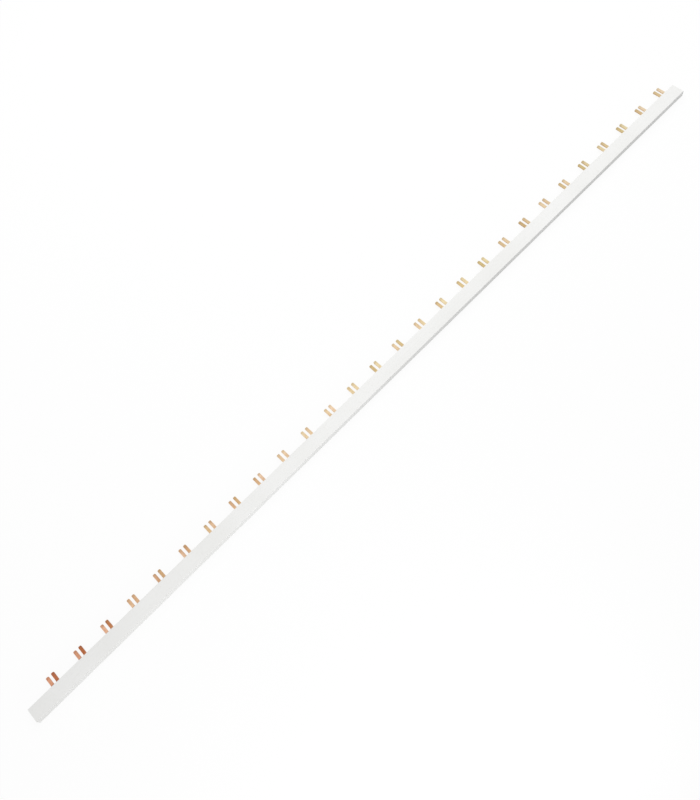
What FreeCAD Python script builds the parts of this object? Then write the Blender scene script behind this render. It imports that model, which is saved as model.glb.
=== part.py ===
"""Single-pole fork comb busbar, for joining the screw terminals of a row of breakers.

Two pieces make it: a stamped copper comb, and the white extruded profile that insulates it.
The comb is pushed into the profile's open edge, and its forks stand out through the mouth there.
The bar lies flat on its back face. X runs along it, the forks point along +Y, and Z goes up
from the back face to the front face. The origin is under the middle of the whole outline.
All sizes are millimetres.
"""
import FreeCAD, Part

import os

from FreeCAD import Vector

# Rail modules and where the forks stand
MODULE = 17.8
MODULE_COUNT = 56
MODULES_PER_FORK = 2
END_OVERHANG = 7.6

# Outside of the insulating profile
PROFILE_HEIGHT = 16.4
PROFILE_THICKNESS = 8.0
EDGE_RADIUS = 0.5

# Walls of the profile: front and back walls, closed edge, and the lips of the open edge
WALL = 1.2
CLOSED_EDGE = 1.4
LIP = 1.4
CAVITY_RADIUS = 0.5
MOUTH_CLEARANCE = 0.3
MOUTH_CHAMFER = 0.35

# Ribs inside the profile that hold the comb upright
GROOVE_CLEARANCE = 0.1
SEAT_RIB_HEIGHT = 1.8
SEAT_RIB_WIDTH = 0.8
GUIDE_RIB_BASE = 1.8
GUIDE_RIB_NOSE = 0.8
GUIDE_RIB_BELOW_STRIP_TOP = 1.6

# Stamped copper comb
COPPER = 1.5
STRIP_HEIGHT = 8.0
STRIP_END_INSET = 3.0
PRONG_WIDTH = 3.4
SLOT_WIDTH = 3.2
FORK_STANDS_OUT = 11.7
SLOT_ROOT_STANDS_OUT = 0.6
TIP_RADIUS = 1.0
NECK_FILLET = 1.5

# Worked out from the sizes above
FORK_PITCH = MODULE * MODULES_PER_FORK
FORK_COUNT = MODULE_COUNT // MODULES_PER_FORK
LENGTH = MODULE * MODULE_COUNT + 2 * END_OVERHANG
FIRST_FORK_X = -LENGTH / 2 + END_OVERHANG + MODULE * (MODULES_PER_FORK - 0.5)
CLOSED_EDGE_Y = -(PROFILE_HEIGHT + FORK_STANDS_OUT) / 2
OPEN_EDGE_Y = CLOSED_EDGE_Y + PROFILE_HEIGHT
MIDDLE_Z = PROFILE_THICKNESS / 2
STRIP_BOTTOM_Y = CLOSED_EDGE_Y + CLOSED_EDGE
STRIP_TOP_Y = STRIP_BOTTOM_Y + STRIP_HEIGHT
FORK_TIP_Y = OPEN_EDGE_Y + FORK_STANDS_OUT
SLOT_ROOT_Y = OPEN_EDGE_Y + SLOT_ROOT_STANDS_OUT
FORK_WIDTH = 2 * PRONG_WIDTH + SLOT_WIDTH


def fork_centres():
    """X of each fork's middle. The last module of every group carries the fork."""
    return [FIRST_FORK_X + FORK_PITCH * i for i in range(FORK_COUNT)]


class Outline:
    """A closed flat outline, drawn from point to point with lines and arcs."""

    def __init__(self, start):
        self.start = start
        self.here = start
        self.edges = []

    def line(self, end):
        if self.here.distanceToPoint(end) > 1e-7:
            self.edges.append(Part.makeLine(self.here, end))
        self.here = end

    def arc(self, middle, end):
        self.edges.append(Part.Arc(self.here, middle, end).toShape())
        self.here = end

    def corner(self, centre, end):
        """A quarter turn about a centre, taken the short way."""
        radius = self.here.distanceToPoint(centre)
        halfway = (self.here - centre) + (end - centre)
        self.arc(centre + halfway.normalize() * radius, end)

    def face(self):
        self.line(self.start)
        return Part.Face(Part.Wire(self.edges))


def section_point(y, z):
    """A point of the profile's section, in the plane of its left end."""
    return Vector(-LENGTH / 2, y, z)


def section_polygon(corners):
    """A flat face of the section with straight sides. Each corner is (y, z)."""
    outline = Outline(section_point(*corners[0]))
    for y, z in corners[1:]:
        outline.line(section_point(y, z))
    return outline.face()


def section_rectangle(y_low, y_high, z_low, z_high, radius):
    """A flat face of the section with four rounded corners."""
    point = section_point
    outline = Outline(point(y_low + radius, z_low))
    outline.line(point(y_high - radius, z_low))
    outline.corner(point(y_high - radius, z_low + radius), point(y_high, z_low + radius))
    outline.line(point(y_high, z_high - radius))
    outline.corner(point(y_high - radius, z_high - radius), point(y_high - radius, z_high))
    outline.line(point(y_low + radius, z_high))
    outline.corner(point(y_low + radius, z_high - radius), point(y_low, z_high - radius))
    outline.line(point(y_low, z_low + radius))
    outline.corner(point(y_low + radius, z_low + radius), point(y_low + radius, z_low))
    return outline.face()


def mouth_section():
    """The slit through the lips, with a lead-in chamfer on each lip's outer edge."""
    half = COPPER / 2 + MOUTH_CLEARANCE
    inside = OPEN_EDGE_Y - LIP - WALL / 2
    flare = min(MOUTH_CHAMFER, LIP / 2)
    return section_polygon([
        (inside, MIDDLE_Z - half),
        (OPEN_EDGE_Y - flare, MIDDLE_Z - half),
        (OPEN_EDGE_Y, MIDDLE_Z - half - flare),
        (OPEN_EDGE_Y, MIDDLE_Z + half + flare),
        (OPEN_EDGE_Y - flare, MIDDLE_Z + half),
        (inside, MIDDLE_Z + half),
    ])


def seat_rib_section(side):
    """A low rib on the closed edge, beside the strip's foot. Its top leads the strip in."""
    groove = MIDDLE_Z + side * (COPPER / 2 + GROOVE_CLEARANCE)
    outer = groove + side * SEAT_RIB_WIDTH
    lead_in = groove + side * SEAT_RIB_WIDTH / 2
    root = STRIP_BOTTOM_Y - CLOSED_EDGE / 2
    top = STRIP_BOTTOM_Y + SEAT_RIB_HEIGHT
    return section_polygon([
        (root, groove),
        (top - SEAT_RIB_WIDTH / 2, groove),
        (top, lead_in),
        (top, outer),
        (root, outer),
    ])


def guide_rib_section(side):
    """A tapered rib from the front or back wall to the upper part of the strip."""
    groove = MIDDLE_Z + side * (COPPER / 2 + GROOVE_CLEARANCE)
    root = MIDDLE_Z + side * (PROFILE_THICKNESS / 2 - WALL / 2)
    y = STRIP_TOP_Y - GUIDE_RIB_BELOW_STRIP_TOP
    return section_polygon([
        (y - GUIDE_RIB_BASE / 2, root),
        (y - GUIDE_RIB_NOSE / 2, groove),
        (y + GUIDE_RIB_NOSE / 2, groove),
        (y + GUIDE_RIB_BASE / 2, root),
    ])


def draw_out(section):
    """Draws a section out along the whole bar."""
    return section.extrude(Vector(LENGTH, 0, 0))


def insulating_profile():
    """The extrusion: an outer wall with a cavity and a mouth, and its four inner ribs."""
    edge_radius = min(EDGE_RADIUS, 0.8 * WALL)
    outside = section_rectangle(CLOSED_EDGE_Y, OPEN_EDGE_Y, 0, PROFILE_THICKNESS, edge_radius)
    cavity = section_rectangle(
        CLOSED_EDGE_Y + CLOSED_EDGE, OPEN_EDGE_Y - LIP, WALL, PROFILE_THICKNESS - WALL, CAVITY_RADIUS
    )
    profile = draw_out(outside).cut(draw_out(cavity)).cut(draw_out(mouth_section()))
    for side in (-1, 1):
        profile = profile.fuse([draw_out(seat_rib_section(side)), draw_out(guide_rib_section(side))])
    return profile.removeSplitter()


def draw_fork(outline, x, z):
    """One fork of the comb's upper edge, from its left fillet to its right one."""
    tip_radius = min(TIP_RADIUS, 0.45 * PRONG_WIDTH)
    slot_radius = SLOT_WIDTH / 2
    left = x - FORK_WIDTH / 2
    right = x + FORK_WIDTH / 2
    outline.line(Vector(left - NECK_FILLET, STRIP_TOP_Y, z))
    outline.corner(
        Vector(left - NECK_FILLET, STRIP_TOP_Y + NECK_FILLET, z),
        Vector(left, STRIP_TOP_Y + NECK_FILLET, z),
    )
    draw_prong_tip(outline, left, x - slot_radius, z, tip_radius)
    outline.line(Vector(x - slot_radius, SLOT_ROOT_Y + slot_radius, z))
    outline.arc(
        Vector(x, SLOT_ROOT_Y, z),
        Vector(x + slot_radius, SLOT_ROOT_Y + slot_radius, z),
    )
    draw_prong_tip(outline, x + slot_radius, right, z, tip_radius)
    outline.line(Vector(right, STRIP_TOP_Y + NECK_FILLET, z))
    outline.corner(
        Vector(right + NECK_FILLET, STRIP_TOP_Y + NECK_FILLET, z),
        Vector(right + NECK_FILLET, STRIP_TOP_Y, z),
    )


def draw_prong_tip(outline, left, right, z, radius):
    """Up a prong's left side and over its tip, with both tip corners rounded."""
    outline.line(Vector(left, FORK_TIP_Y - radius, z))
    outline.corner(Vector(left + radius, FORK_TIP_Y - radius, z), Vector(left + radius, FORK_TIP_Y, z))
    outline.line(Vector(right - radius, FORK_TIP_Y, z))
    outline.corner(Vector(right - radius, FORK_TIP_Y - radius, z), Vector(right, FORK_TIP_Y - radius, z))


def copper_comb():
    """The stamping: a strip along the bar with a two-pronged fork for each second module."""
    z = MIDDLE_Z - COPPER / 2
    end = LENGTH / 2 - STRIP_END_INSET
    outline = Outline(Vector(-end, STRIP_BOTTOM_Y, z))
    outline.line(Vector(-end, STRIP_TOP_Y, z))
    for x in fork_centres():
        draw_fork(outline, x, z)
    outline.line(Vector(end, STRIP_TOP_Y, z))
    outline.line(Vector(end, STRIP_BOTTOM_Y, z))
    return outline.face().extrude(Vector(0, 0, COPPER))


PIECES = {
    "insulating_profile": insulating_profile,
    "copper_comb": copper_comb,
}

os.makedirs("parts", exist_ok=True)
for name, make in PIECES.items():
    solid = make()
    solid.exportStep(f"parts/{name}.step")
    box = solid.BoundBox
    print(
        f"{name}: {len(solid.Solids)} solid, valid {solid.isValid()}, {solid.Volume:.0f} mm3, "
        f"{box.XLength:.1f} x {box.YLength:.1f} x {box.ZLength:.1f} mm, {len(solid.Faces)} faces"
    )
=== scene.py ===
# %% [markdown]
# # A fork comb busbar, made in cells
#
# The object joins the screw terminals of a row of breakers. It has two pieces: a copper comb,
# stamped out of sheet, and a white plastic profile that is pushed through a die and cut to
# length. Both are long flat shapes with a thickness, so one idea makes them both: draw an
# outline, give it a thickness, and soften the edges that this leaves.
#
# The sizes come from the CAD model. It is loaded first, as a frame that nothing here moves,
# and its box is kept, because the finished pieces have to stay inside it.

import math

import bmesh
import bpy
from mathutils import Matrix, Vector


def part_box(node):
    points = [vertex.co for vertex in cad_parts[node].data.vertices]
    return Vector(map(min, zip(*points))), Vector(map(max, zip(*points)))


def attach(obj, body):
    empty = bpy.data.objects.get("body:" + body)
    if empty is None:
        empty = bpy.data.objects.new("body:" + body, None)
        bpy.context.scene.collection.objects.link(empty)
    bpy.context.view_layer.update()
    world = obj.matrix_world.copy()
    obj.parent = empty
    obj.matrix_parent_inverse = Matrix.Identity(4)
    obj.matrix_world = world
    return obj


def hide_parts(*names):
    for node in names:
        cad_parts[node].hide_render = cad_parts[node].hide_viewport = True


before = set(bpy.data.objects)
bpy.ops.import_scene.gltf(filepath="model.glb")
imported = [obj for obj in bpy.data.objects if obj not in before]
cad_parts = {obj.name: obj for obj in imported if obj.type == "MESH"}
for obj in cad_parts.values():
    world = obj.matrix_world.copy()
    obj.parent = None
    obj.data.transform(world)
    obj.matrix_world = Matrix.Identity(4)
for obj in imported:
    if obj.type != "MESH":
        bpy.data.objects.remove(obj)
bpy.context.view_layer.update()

# %% [markdown]
# Blender counts in metres and a busbar is drawn in millimetres, so every size below is
# written in millimetres and multiplied by `MM`. The outside of each piece is read from its
# CAD node. What a box can't tell, such as the width of a prong, is written out with
# the same values as in the part's source.

# %% Sizes of both pieces
MM = 0.001

PROFILE_LOW, PROFILE_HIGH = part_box("insulating_profile")
COMB_LOW, COMB_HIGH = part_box("copper_comb")

BAR_LENGTH = PROFILE_HIGH.x - PROFILE_LOW.x
PROFILE_THICKNESS = PROFILE_HIGH.z - PROFILE_LOW.z
CLOSED_EDGE_Y = PROFILE_LOW.y
OPEN_EDGE_Y = PROFILE_HIGH.y
MIDDLE_Z = (PROFILE_LOW.z + PROFILE_HIGH.z) / 2
COPPER = COMB_HIGH.z - COMB_LOW.z
STRIP_HALF_LENGTH = COMB_HIGH.x
STRIP_FOOT_Y = COMB_LOW.y
STRIP_HEIGHT = 8.0 * MM
STRIP_TOP_Y = STRIP_FOOT_Y + STRIP_HEIGHT
PRONG_TIP_Y = COMB_HIGH.y

FORK_COUNT = 28
FORK_PITCH = 35.6 * MM
FIRST_FORK_X = -471.7 * MM
PRONG_WIDTH = 3.4 * MM
SLOT_WIDTH = 3.2 * MM
ROOT_ABOVE_EDGE = 0.6 * MM
SLOT_ROOT_Y = OPEN_EDGE_Y + ROOT_ABOVE_EDGE

print(f"bar {BAR_LENGTH / MM:.1f} mm long, {PROFILE_THICKNESS / MM:.1f} mm thick")
print(f"copper {COPPER / MM:.2f} mm, prongs stand out {(PRONG_TIP_Y - OPEN_EDGE_Y) / MM:.2f} mm")

# %% [markdown]
# A Geometry Nodes tree is a recipe: it takes named sizes and returns a shape. Building one in
# a script is mostly adding nodes and joining sockets, so a few small helpers do that. `wire`
# sets a socket to a plain value, or links it when it is given another node's output.

# %% Helpers that add and join nodes
def wire(tree, value, target):
    if isinstance(value, bpy.types.NodeSocket):
        tree.links.new(value, target)
    else:
        target.default_value = value


def add_node(tree, kind, inputs=None, **settings):
    node = tree.nodes.new(kind)
    for name, value in settings.items():
        setattr(node, name, value)
    for key, value in (inputs or {}).items():
        wire(tree, value, node.inputs[key])
    return node


def new_tree(name, kind, inputs, outputs):
    """A node group with named sockets. Returns the tree, its inputs' node and its outputs' node."""
    tree = bpy.data.node_groups.new(name, kind)
    for label, socket_type, default in inputs:
        socket = tree.interface.new_socket(name=label, in_out="INPUT", socket_type=socket_type)
        if default is not None:
            socket.default_value = default
    for label, socket_type in outputs:
        tree.interface.new_socket(name=label, in_out="OUTPUT", socket_type=socket_type)
    return tree, tree.nodes.new("NodeGroupInput"), tree.nodes.new("NodeGroupOutput")


print("wire, add_node and new_tree are ready")

# %% [markdown]
# A rule in nodes is mostly sums and choices. `pick` chooses one of several values by number,
# which is how a rule gives each point of an outline its own place. The points could be pasted
# in as a list, but then no size could be changed, so they start as a plain row that knows
# nothing but its numbers.

# %% Helpers for sums, choices and rows of points
def math_node(tree, operation, first, second=0.0):
    node = add_node(tree, "ShaderNodeMath", {0: first, 1: second}, operation=operation)
    return node.outputs["Value"]


def pick(tree, index, values, data_type="FLOAT"):
    node = tree.nodes.new("GeometryNodeIndexSwitch")
    node.data_type = data_type
    while len(node.index_switch_items) < len(values):
        node.index_switch_items.new()
    wire(tree, index, node.inputs["Index"])
    for number, value in enumerate(values):
        wire(tree, value, node.inputs[str(number)])
    return node.outputs["Output"]


def point(tree, x=0.0, y=0.0, z=0.0):
    return add_node(tree, "ShaderNodeCombineXYZ", {"X": x, "Y": y, "Z": z}).outputs["Vector"]


def row_of_points(tree, count, places):
    """A curve of so many points, each moved to the place that the rule gives its number."""
    line = add_node(tree, "GeometryNodeMeshLine", {"Count": count})
    curve = add_node(tree, "GeometryNodeMeshToCurve", {"Mesh": line.outputs["Mesh"]})
    placed = add_node(
        tree,
        "GeometryNodeSetPosition",
        {"Geometry": curve.outputs["Curve"], "Position": places},
    )
    return placed.outputs["Geometry"]


print("math_node, pick, point and row_of_points are ready")

# %% [markdown]
# A drawn outline is closed to a loop and gets round corners, and what is known about a point
# or a face is stored on it as a named attribute, so that a material can read it later.

# %% Helpers for loops, round corners and stored values
def closed_loop(tree, curve):
    node = add_node(tree, "GeometryNodeSetSplineCyclic", {"Geometry": curve, "Cyclic": True})
    return node.outputs["Geometry"]


def round_corners(tree, curve, radius, steps):
    """Each corner becomes an arc of so many steps."""
    node = add_node(
        tree,
        "GeometryNodeFilletCurve",
        {"Curve": curve, "Radius": radius, "Count": steps, "Limit Radius": True},
        mode="POLY",
    )
    return node.outputs["Curve"]


def stored(tree, geometry, name, value, domain):
    node = add_node(
        tree,
        "GeometryNodeStoreNamedAttribute",
        {"Geometry": geometry, "Name": name, "Value": value},
        data_type="FLOAT",
        domain=domain,
    )
    return node.outputs["Geometry"]


print("closed_loop, round_corners and stored are ready")

# %% [markdown]
# Both pieces are slabs: a closed outline with a thickness. Real ones have no razor edges, as
# sheared copper rolls over a little at the cut and a sawn plastic end is wiped smooth. The
# slab could be extruded and bevelled, but a bevel leaves slivers where many short edges meet.
# Here a small section of the edge, two quarter circles with a straight run between them, is
# swept round the outline instead, and the two faces are filled in. One group serves both
# pieces. It also stores two attributes for the materials: `slab_face` is 1 on the two flat
# faces, and `soft_edge` rises to 1 along the middle of each rounded edge.

# %% A group that gives an outline a thickness and soft edges
slab, slab_in, slab_out = new_tree(
    "softened_slab",
    "GeometryNodeTree",
    [
        ("Outline", "NodeSocketGeometry", None),
        ("Thickness", "NodeSocketFloat", 1.0 * MM),
        ("Soft edge", "NodeSocketFloat", 0.1 * MM),
        ("Edge steps", "NodeSocketInt", 3),
    ],
    [("Slab", "NodeSocketGeometry")],
)
soft = slab_in.outputs["Soft edge"]
minus_soft = math_node(slab, "MULTIPLY", soft, -1.0)
half_thickness = math_node(slab, "MULTIPLY", slab_in.outputs["Thickness"], 0.5)
minus_half = math_node(slab, "MULTIPLY", half_thickness, -1.0)
print("slab group's sockets:", [item.name for item in slab.interface.items_tree])

# %% [markdown]
# The section of the edge is drawn first, with X as the way out and Y as the way up. It starts
# on the upper face, a soft edge's width in from the outline, runs out to the outline, down the
# side, and in again on the lower face. Its two outer corners become quarter circles. It could
# be a curve with handles, but four numbered points keep its sizes as inputs.

# %% The small section of the edge
EDGE_POINTS = 4
edge_places = pick(
    slab,
    add_node(slab, "GeometryNodeInputIndex").outputs["Index"],
    [
        point(slab, minus_soft, half_thickness),
        point(slab, 0.0, half_thickness),
        point(slab, 0.0, minus_half),
        point(slab, minus_soft, minus_half),
    ],
    "VECTOR",
)
edge_drawn = row_of_points(slab, EDGE_POINTS, edge_places)
edge_round = round_corners(slab, edge_drawn, soft, slab_in.outputs["Edge steps"])
print("section of the edge:", EDGE_POINTS, "points before its corners are rounded")

# %% [markdown]
# A point on the rounded part is both further out than the soft edge's start and further up
# than its foot. The smaller of those two shares is 0 at both ends of the quarter circle and
# about 0.7 halfway round, which makes a clean mask for worn edges.

# %% The mask of the rounded edges
QUARTER_TURN_MIDDLE = 0.7071
edge_xyz = add_node(
    slab,
    "ShaderNodeSeparateXYZ",
    {"Vector": add_node(slab, "GeometryNodeInputPosition").outputs["Position"]},
)
outward = math_node(slab, "DIVIDE", math_node(slab, "ADD", edge_xyz.outputs["X"], soft), soft)
height = math_node(slab, "ABSOLUTE", edge_xyz.outputs["Y"])
upward = math_node(slab, "SUBTRACT", height, math_node(slab, "SUBTRACT", half_thickness, soft))
upward = math_node(slab, "DIVIDE", upward, soft)
edge_mask = add_node(
    slab,
    "ShaderNodeMapRange",
    {"Value": math_node(slab, "MINIMUM", outward, upward), "From Max": QUARTER_TURN_MIDDLE},
    clamp=True,
).outputs["Result"]
edge_marked = stored(slab, edge_round, "soft_edge", edge_mask, "POINT")
print("soft_edge reaches 1 at a share of", QUARTER_TURN_MIDDLE)

# %% [markdown]
# Curve to Mesh carries that section round the closed outline, like a moulding round a table
# top. The outline lies flat, so its normals are held level with Z Up, and the section never
# twists on its way round.

# %% Sweep the edge round the outline
outline = add_node(
    slab,
    "GeometryNodeSetCurveNormal",
    {"Curve": closed_loop(slab, slab_in.outputs["Outline"])},
    mode="Z_UP",
).outputs["Curve"]
band = add_node(
    slab, "GeometryNodeCurveToMesh", {"Curve": outline, "Profile Curve": edge_marked}
).outputs["Mesh"]
print("slab group with its sweep:", len(slab.nodes), "nodes")

# %% [markdown]
# The sweep leaves a ring with one hole above and one below. Each hole is the outline drawn in
# by the soft edge, so that is filled and moved to its height, and the lower one is flipped to
# face down. Merging the points that lie in one place makes one closed skin of the three.

# %% Fill the two faces and close the slab
WELD = 0.002 * MM


def slab_face(z, flip):
    """The outline drawn in by the soft edge, filled, and moved up or down to its face."""
    normal = add_node(slab, "GeometryNodeInputNormal").outputs["Normal"]
    inward = add_node(
        slab, "ShaderNodeVectorMath", {"Vector": normal, "Scale": minus_soft}, operation="SCALE"
    )
    drawn_in = add_node(
        slab, "GeometryNodeSetPosition", {"Geometry": outline, "Offset": inward.outputs["Vector"]}
    )
    face = add_node(
        slab, "GeometryNodeFillCurve", {"Curve": drawn_in.outputs["Geometry"]}
    ).outputs["Mesh"]
    if flip:
        face = add_node(slab, "GeometryNodeFlipFaces", {"Mesh": face}).outputs["Mesh"]
    lifted = add_node(
        slab, "GeometryNodeTransform", {"Geometry": face, "Translation": point(slab, z=z)}
    )
    return stored(slab, lifted.outputs["Geometry"], "slab_face", 1.0, "FACE")


joined = add_node(slab, "GeometryNodeJoinGeometry")
for part in (slab_face(minus_half, True), slab_face(half_thickness, False), band):
    slab.links.new(part, joined.inputs["Geometry"])
welded = add_node(
    slab,
    "GeometryNodeMergeByDistance",
    {"Geometry": joined.outputs["Geometry"], "Distance": WELD},
)
slab.links.new(welded.outputs["Geometry"], slab_out.inputs["Slab"])
print("whole slab group:", len(slab.nodes), "nodes")

# %% [markdown]
# A tree does nothing until an object carries it. `grow` puts it on an object as a modifier,
# sets its inputs by the sockets' identifiers, lets Blender evaluate it and keeps the result
# as a plain mesh with its place in its vertices. The helper object and its modifier go away.

# %% A helper that turns a tree into a plain mesh
def set_input(modifier, name, value):
    for item in modifier.node_group.interface.items_tree:
        if item.item_type == "SOCKET" and item.in_out == "INPUT" and item.name == name:
            modifier[item.identifier] = value
            return
    raise KeyError(name)


def grow(name, start, tree, sizes):
    helper = bpy.data.objects.new(name + "_helper", start)
    bpy.context.scene.collection.objects.link(helper)
    modifier = helper.modifiers.new("grow", "NODES")
    modifier.node_group = tree
    for label, value in sizes.items():
        set_input(modifier, label, value)
    evaluated = helper.evaluated_get(bpy.context.evaluated_depsgraph_get())
    mesh = bpy.data.meshes.new_from_object(evaluated)
    helper.modifiers.remove(modifier)
    bpy.data.objects.remove(helper)
    mesh.name = name
    while len(mesh.materials) > 1 and mesh.materials[0] is None:
        mesh.materials.pop(index=0)
    return mesh


print("set_input and grow are ready")

# %% [markdown]
# A mesh needs two last things. Its faces have to point out, and its shading has to fit its
# shape: faces that lie square to an axis stay flat and only the roundings are smooth, so the
# broad faces don't look pillowed. Open edges and the volume tell whether it is one closed skin.

# %% A helper that finishes and measures a mesh
SQUARE_TO_AN_AXIS = 0.9999


def finish_mesh(mesh):
    work = bmesh.new()
    work.from_mesh(mesh)
    bmesh.ops.recalc_face_normals(work, faces=work.faces)
    for face in work.faces:
        face.smooth = max(abs(value) for value in face.normal) < SQUARE_TO_AN_AXIS
    open_edges = sum(1 for edge in work.edges if not edge.is_manifold)
    volume = work.calc_volume(signed=True) / MM ** 3
    work.to_mesh(mesh)
    work.free()
    mesh.calc_loop_triangles()
    print(
        f"{mesh.name}: {len(mesh.loop_triangles)} triangles, {open_edges} open edges, "
        f"{volume:.0f} mm3"
    )


print("finish_mesh is ready")

# %% [markdown]
# The comb is one flat stamping, so it is one closed outline. It could be 28 copies of a fork
# joined to a strip, but then every joint would leave a seam. A rule is cleaner: the outline
# has 8 corners for each fork and 4 for the ends of the strip, and the number of a corner says
# which fork it belongs to and which of the 8 corners it is. A Fillet Curve node then rounds
# each corner by its own radius: wide at the necks, half the slot's width at the slot's root,
# small at the prong tips.

# %% The comb's tree and its named sizes
CORNER_STEPS = 6
comb_tree, comb_in, comb_out = new_tree(
    "comb_by_rule",
    "GeometryNodeTree",
    [
        ("Geometry", "NodeSocketGeometry", None),
        ("Forks", "NodeSocketInt", FORK_COUNT),
        ("Fork pitch", "NodeSocketFloat", FORK_PITCH),
        ("First fork X", "NodeSocketFloat", FIRST_FORK_X),
        ("Fork width", "NodeSocketFloat", 0.0),
        ("Slot width", "NodeSocketFloat", 0.0),
        ("Strip half length", "NodeSocketFloat", 0.0),
        ("Strip foot Y", "NodeSocketFloat", 0.0),
        ("Strip top Y", "NodeSocketFloat", 0.0),
        ("Slot root Y", "NodeSocketFloat", 0.0),
        ("Prong tip Y", "NodeSocketFloat", 0.0),
        ("Tip radius", "NodeSocketFloat", 0.0),
        ("Neck radius", "NodeSocketFloat", 0.0),
        ("Strip corner radius", "NodeSocketFloat", 0.0),
        ("Corner steps", "NodeSocketInt", CORNER_STEPS),
        ("Copper", "NodeSocketFloat", 0.0),
        ("Middle Z", "NodeSocketFloat", 0.0),
        ("Soft edge", "NodeSocketFloat", 0.0),
        ("Material", "NodeSocketMaterial", None),
    ],
    [("Geometry", "NodeSocketGeometry")],
)
size = comb_in.outputs
print("comb's inputs:", [item.name for item in comb_tree.interface.items_tree])

# %% [markdown]
# A point's number tells the rule where it is. Divided by 8 it gives the fork, and the rest of
# that division gives the corner. The last four points come after all the forks and belong to
# the two ends of the strip.

# %% Which fork and which corner a point is
CORNERS_PER_FORK = 8
STRIP_CORNERS = 4
JUST_BEFORE_THE_FIRST = -0.5
index = add_node(comb_tree, "GeometryNodeInputIndex").outputs["Index"]
fork_corners = math_node(comb_tree, "MULTIPLY", size["Forks"], CORNERS_PER_FORK)
corner_count = math_node(comb_tree, "ADD", fork_corners, STRIP_CORNERS)
fork = math_node(comb_tree, "FLOOR", math_node(comb_tree, "DIVIDE", index, CORNERS_PER_FORK))
corner = math_node(comb_tree, "MODULO", index, CORNERS_PER_FORK)
strip_corner = math_node(comb_tree, "SUBTRACT", index, fork_corners)
on_strip = math_node(comb_tree, "GREATER_THAN", strip_corner, JUST_BEFORE_THE_FIRST)
print("the comb's outline has", FORK_COUNT * CORNERS_PER_FORK + STRIP_CORNERS, "corners")

# %% [markdown]
# Going round a fork from left to right, the eight corners are the left neck, the two of the
# left prong's tip, the two of the slot's root, the two of the right prong's tip, and the right
# neck. A corner's X is the fork's middle and an offset, and its Y is one of three heights.

# %% Where each corner lies
fork_right = math_node(comb_tree, "MULTIPLY", size["Fork width"], 0.5)
fork_left = math_node(comb_tree, "MULTIPLY", fork_right, -1.0)
slot_right = math_node(comb_tree, "MULTIPLY", size["Slot width"], 0.5)
slot_left = math_node(comb_tree, "MULTIPLY", slot_right, -1.0)
from_fork = pick(
    comb_tree,
    corner,
    [fork_left, fork_left, slot_left, slot_left, slot_right, slot_right, fork_right, fork_right],
)
fork_centre = math_node(comb_tree, "MULTIPLY", fork, size["Fork pitch"])
fork_centre = math_node(comb_tree, "ADD", fork_centre, size["First fork X"])
fork_x = math_node(comb_tree, "ADD", fork_centre, from_fork)
top, tip, root, foot = (
    size[label] for label in ("Strip top Y", "Prong tip Y", "Slot root Y", "Strip foot Y")
)
fork_y = pick(comb_tree, corner, [top, tip, tip, root, root, tip, tip, top])
strip_right = size["Strip half length"]
strip_left = math_node(comb_tree, "MULTIPLY", strip_right, -1.0)
strip_x = pick(comb_tree, strip_corner, [strip_right, strip_right, strip_left, strip_left])
strip_y = pick(comb_tree, strip_corner, [top, foot, foot, top])
print(f"prongs are {(PRONG_TIP_Y - STRIP_TOP_Y) / MM:.2f} mm long from the strip to their tips")

# %% [markdown]
# Each point then gets the fork's place and radius, or the strip's. The root of the slot is
# meant to be a half circle, but two arcs that meet exactly would leave a doubled point, so its
# radius stays just under half of the slot's width.

# %% Choose between a fork's corner and the strip's
NEARLY_HALF = 0.49


def on_strip_or_fork(strip_value, fork_value):
    chosen = add_node(
        comb_tree,
        "GeometryNodeSwitch",
        {"Switch": on_strip, "False": fork_value, "True": strip_value},
        input_type="FLOAT",
    )
    return chosen.outputs["Output"]


corner_place = point(
    comb_tree, on_strip_or_fork(strip_x, fork_x), on_strip_or_fork(strip_y, fork_y)
)
neck_radius = size["Neck radius"]
tip_radius = size["Tip radius"]
root_radius = math_node(comb_tree, "MULTIPLY", size["Slot width"], NEARLY_HALF)
left_radii = [neck_radius, tip_radius, tip_radius, root_radius]
fork_radius = pick(comb_tree, corner, left_radii + left_radii[::-1])
corner_radius = on_strip_or_fork(size["Strip corner radius"], fork_radius)
print(f"the slot's root has a radius of {SLOT_WIDTH * NEARLY_HALF / MM:.2f} mm")

# %% [markdown]
# The placed points become a closed curve, its corners are rounded, and the slab group makes it
# a sheet. The points run clockwise, so the curve is reversed first, because otherwise the soft
# edge would lie outside the outline. Both pieces' trees end alike: the slab is moved to its
# height, made real faces and given its material, so one function writes those last nodes.

# %% Round the outline and give it the sheet's thickness
def slab_of(tree, curve, thickness, soft_edge):
    inputs = {"Outline": curve, "Thickness": thickness, "Soft edge": soft_edge}
    return add_node(tree, "GeometryNodeGroup", inputs, node_tree=slab).outputs["Slab"]


def end_tree(tree, tree_out, made, middle_z, turn, material):
    moved = add_node(
        tree,
        "GeometryNodeTransform",
        {"Geometry": made, "Translation": point(tree, z=middle_z), "Rotation": turn},
    )
    real = add_node(tree, "GeometryNodeRealizeInstances", {"Geometry": moved.outputs["Geometry"]})
    painted = add_node(
        tree,
        "GeometryNodeSetMaterial",
        {"Geometry": real.outputs["Geometry"], "Material": material},
    )
    tree.links.new(painted.outputs["Geometry"], tree_out.inputs["Geometry"])
    print(f"{tree.name}: {len(tree.nodes)} nodes")


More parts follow.
